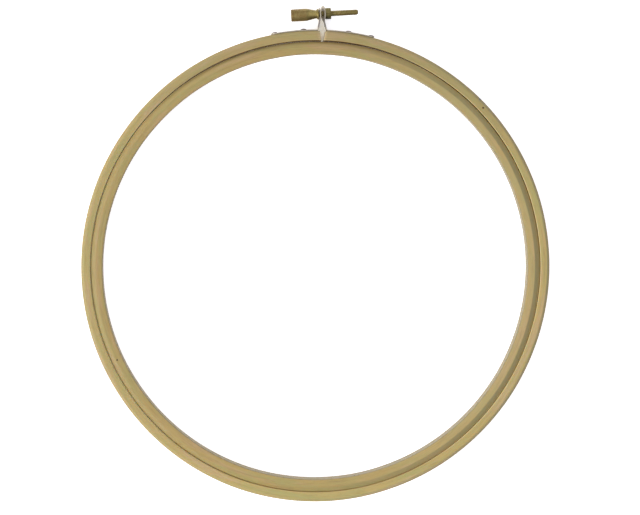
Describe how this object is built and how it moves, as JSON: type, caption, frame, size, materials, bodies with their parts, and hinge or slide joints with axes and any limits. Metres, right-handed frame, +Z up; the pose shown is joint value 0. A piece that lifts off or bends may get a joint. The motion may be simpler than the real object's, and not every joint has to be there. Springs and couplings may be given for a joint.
{
  "type": "embroidery hoop",
  "caption": "Round wooden embroidery hoop: a plain inner ring inside a split outer ring whose ends carry sheet-metal lugs drawn together by a brass thumbscrew and nut.",
  "frame": {"origin": "middle of the hoop's footprint, on the surface it lies on", "axes": "+Z up, along the rings' common axis; +Y from the middle towards the split and the tension screw; +X along the screw from its knob to its threaded end"},
  "size_m": [0.253, 0.2684, 0.0095],
  "materials": {
    "ring_wood": "satin",
    "lug_steel": "satin",
    "tack_steel": "satin",
    "screw_brass": "satin",
    "nut_brass": "satin"
  },
  "bodies": {
    "frame": {"outer_ring": "ring_wood", "left_lug": "lug_steel", "left_near_tack": "tack_steel", "left_far_tack": "tack_steel"},
    "right_end": {"right_lug": "lug_steel", "right_near_tack": "tack_steel", "right_far_tack": "tack_steel", "nut": "nut_brass"},
    "screw": {"tension_screw": "screw_brass"},
    "inner": {"inner_ring": "ring_wood"}
  },
  "joints": [
    {"name": "screw_turn", "type": "hinge", "parent": "frame", "child": "screw", "pos_m": [0, 0.12973, 0.00475], "axis": [0.9966, 0.0828, 0], "range_deg": [-3600, 240]},
    {"name": "split_open", "type": "slide", "parent": "frame", "child": "right_end", "axis": [0.9966, 0.0828, 0], "range_m": [-0.0003, 0.00495], "deforming": ["outer_ring"]},
    {"name": "inner_ring_lift", "type": "slide", "parent": "frame", "child": "inner", "axis": [0, 0, 1], "range_m": [0, 0.03]}
  ],
  "couplings": [
    {"joint": "screw_turn", "follows": "split_open", "rad_per_m": -12566}
  ]
}
